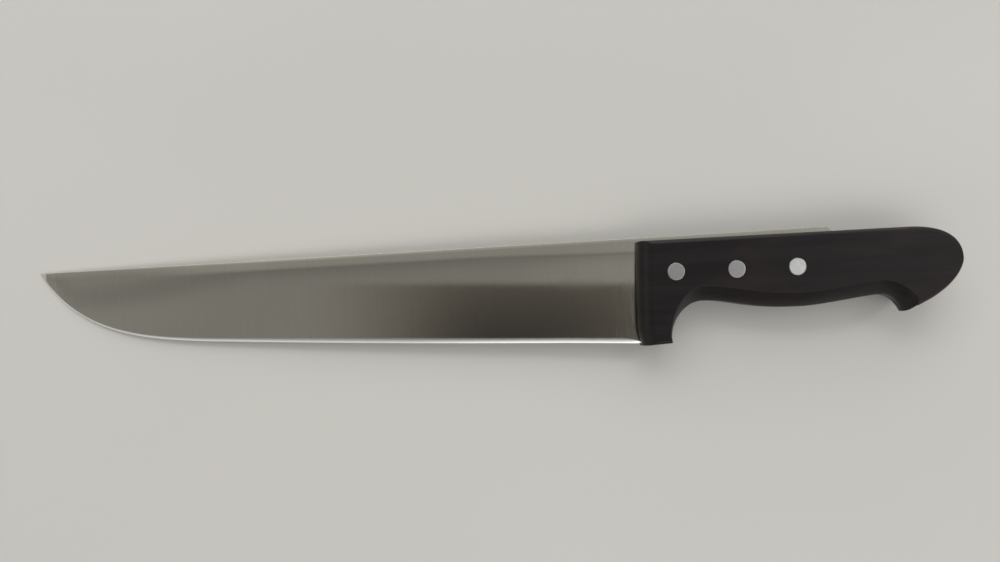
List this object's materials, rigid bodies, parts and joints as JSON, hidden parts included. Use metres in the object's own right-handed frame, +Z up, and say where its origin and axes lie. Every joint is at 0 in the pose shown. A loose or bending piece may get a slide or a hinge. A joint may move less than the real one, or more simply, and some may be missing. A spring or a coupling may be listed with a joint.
{
  "type": "butcher knife",
  "caption": "Long butcher knife with a straight spine and rounded belly, its half tang riveted into a dark wooden handle with a guard, finger arch and beak.",
  "frame": {"origin": "under the middle of the knife's overall box, in the plane of the handle's lower side, on which the handle lies", "axes": "+X from the tip to the butt, +Y from the cutting edge to the spine, +Z up, square to the flat of the blade"},
  "size_m": [0.381, 0.0448, 0.0185],
  "materials": {
    "blade_steel": "satin, finely ground across the blade, with a brighter honed bevel",
    "handle_wood": "very dark brown, close-grained, smooth with a low sheen",
    "rivet_metal": "ground flush with the wood, satin"
  },
  "bodies": {
    "root": {"blade": "blade_steel", "handle": "handle_wood", "rivet_1_hollow_half": "rivet_metal", "rivet_1_pin_half": "rivet_metal", "rivet_2_hollow_half": "rivet_metal", "rivet_2_pin_half": "rivet_metal", "rivet_3_hollow_half": "rivet_metal", "rivet_3_pin_half": "rivet_metal"}
  },
  "joints": []
}
